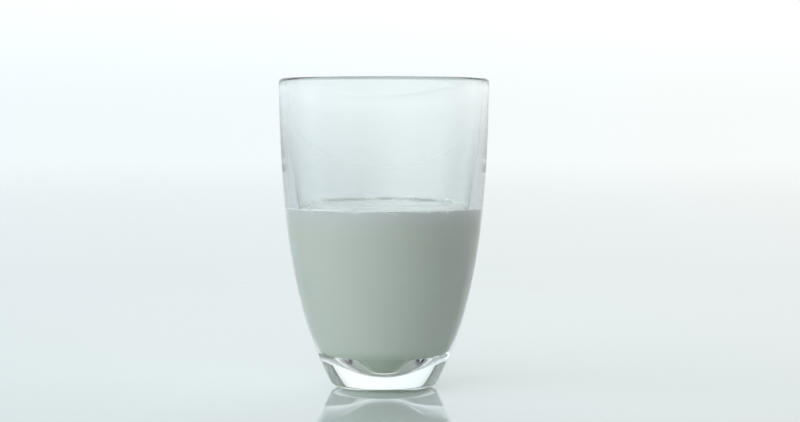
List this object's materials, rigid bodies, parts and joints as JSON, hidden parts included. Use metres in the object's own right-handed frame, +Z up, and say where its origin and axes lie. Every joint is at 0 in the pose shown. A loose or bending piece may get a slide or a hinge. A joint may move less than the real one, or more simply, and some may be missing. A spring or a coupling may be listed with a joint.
{
  "type": "glass of milk",
  "caption": "Clear glass tumbler that widens from a heavy foot to a thin round rim, a little over half full of milk.",
  "frame": {"origin": "centre of the foot, on the surface the glass stands on", "axes": "+Z up along the axis of the glass; the glass is turned about Z, so +X and +Y are alike"},
  "size_m": [0.0814, 0.0814, 0.12],
  "materials": {
    "glass": "clear polished glass, faintly green",
    "milk": "opaque off-white liquid with a wet gloss"
  },
  "bodies": {
    "root": {"tumbler": "glass", "milk": "milk"}
  },
  "joints": []
}
